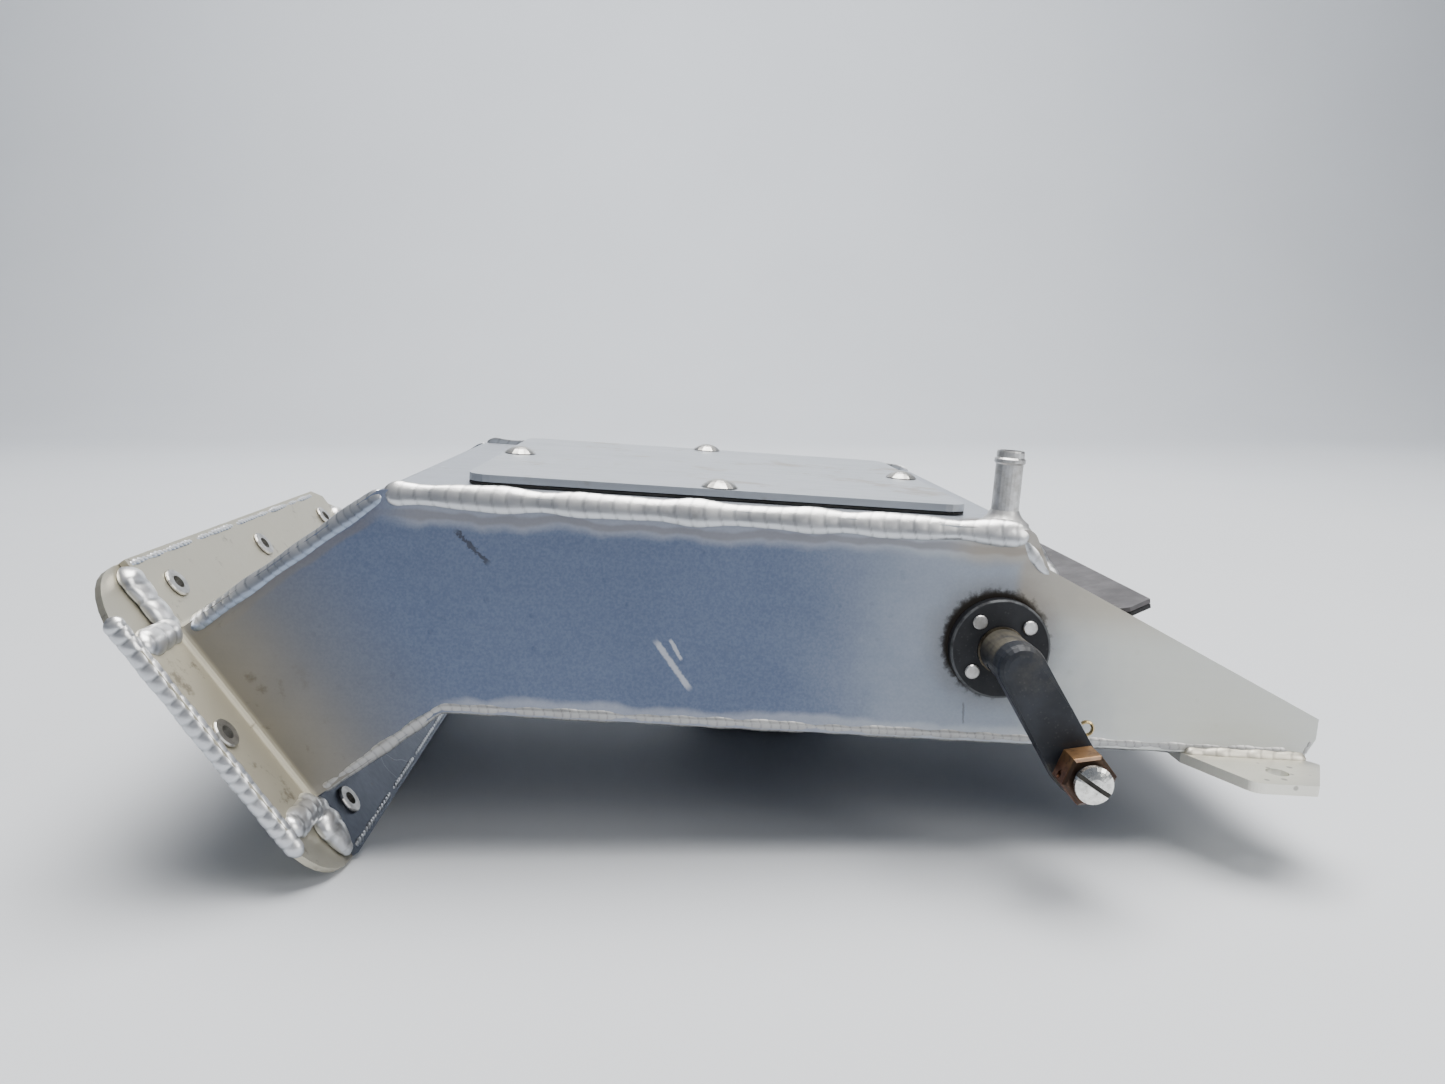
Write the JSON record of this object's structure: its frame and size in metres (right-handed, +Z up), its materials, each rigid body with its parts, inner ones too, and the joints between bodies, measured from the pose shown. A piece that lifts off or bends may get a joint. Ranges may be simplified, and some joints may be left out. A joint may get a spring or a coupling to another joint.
{
  "type": "induction air box",
  "caption": "Welded aluminium induction air box: sloping flanged inlet, screwed lid, hose nipple, outlet neck, tabs, and a hinged air door worked by an outside lever with a cable clamp.",
  "frame": {"origin": "middle of the underside of the box that holds the whole part, as it stands on its inlet flange and its outlet neck", "axes": "+X from the inlet flange to the air door, +Y from the lever's side to the other side, +Z up. The duct itself is tilted 3.7 degrees about Y, as it stands"},
  "size_m": [0.344, 0.2422, 0.1187],
  "materials": {
    "aluminium": "satin sheet, TIG welded",
    "lid_aluminium": "satin sheet",
    "gasket_rubber": "matt",
    "bright_steel": "zinc plated",
    "rivet_aluminium": "flat set heads",
    "black_oxide": "satin black",
    "shaft_steel": "dull",
    "stained_bronze": "heat stained",
    "plated_steel": "bright plated",
    "brass_wire": "bright",
    "door_steel": "dark satin",
    "seal_rubber": "matt"
  },
  "bodies": {
    "housing": {"near_side_plate": "aluminium", "far_side_plate": "aluminium", "top_plate": "aluminium", "bottom_plate": "aluminium", "inlet_frame": "aluminium", "outlet_neck": "aluminium", "hose_nipple": "aluminium", "near_tab": "aluminium", "far_tab": "aluminium", "access_lid": "lid_aluminium", "lid_gasket": "gasket_rubber", "lid_screw_left": "bright_steel", "lid_screw_right": "bright_steel", "lid_screw_near": "bright_steel", "lid_screw_far": "bright_steel", "lid_nut_left": "bright_steel", "lid_nut_right": "bright_steel", "lid_nut_near": "bright_steel", "lid_nut_far": "bright_steel", "flange_insert_top_1": "bright_steel", "flange_insert_top_2": "bright_steel", "flange_insert_top_3": "bright_steel", "flange_insert_bottom_1": "bright_steel", "flange_insert_bottom_2": "bright_steel", "flange_insert_bottom_3": "bright_steel", "flange_insert_near": "bright_steel", "flange_insert_far": "bright_steel", "near_rivet_1": "rivet_aluminium", "near_rivet_2": "rivet_aluminium", "near_rivet_3": "rivet_aluminium", "near_rivet_4": "rivet_aluminium", "far_rivet_1": "rivet_aluminium", "far_rivet_2": "rivet_aluminium", "far_rivet_3": "rivet_aluminium", "far_rivet_4": "rivet_aluminium", "near_bearing": "black_oxide", "far_bearing": "black_oxide"},
    "door": {"air_door": "door_steel", "door_seal": "seal_rubber", "door_shaft": "shaft_steel", "door_screw_1": "bright_steel", "door_screw_2": "bright_steel", "door_screw_3": "bright_steel", "thrust_washer": "bright_steel", "shaft_collar": "black_oxide", "collar_set_screw": "bright_steel", "control_lever": "black_oxide", "lever_set_screw": "bright_steel"},
    "clamp": {"clamp_washer": "black_oxide", "cable_clamp": "stained_bronze", "clamp_collar": "black_oxide", "clamp_bolt": "plated_steel", "clamp_nut": "bright_steel", "cotter_pin": "brass_wire"}
  },
  "joints": [
    {"name": "door_hinge", "type": "hinge", "parent": "housing", "child": "door", "pos_m": [0.07574, 0.00904, 0.06327], "axis": [0, -1, 0], "range_deg": [-45, 22]},
    {"name": "clamp_swivel", "type": "hinge", "parent": "door", "child": "clamp", "pos_m": [0.09099, 0.00904, 0.03651], "axis": [0, -1, 0], "continuous": true}
  ]
}
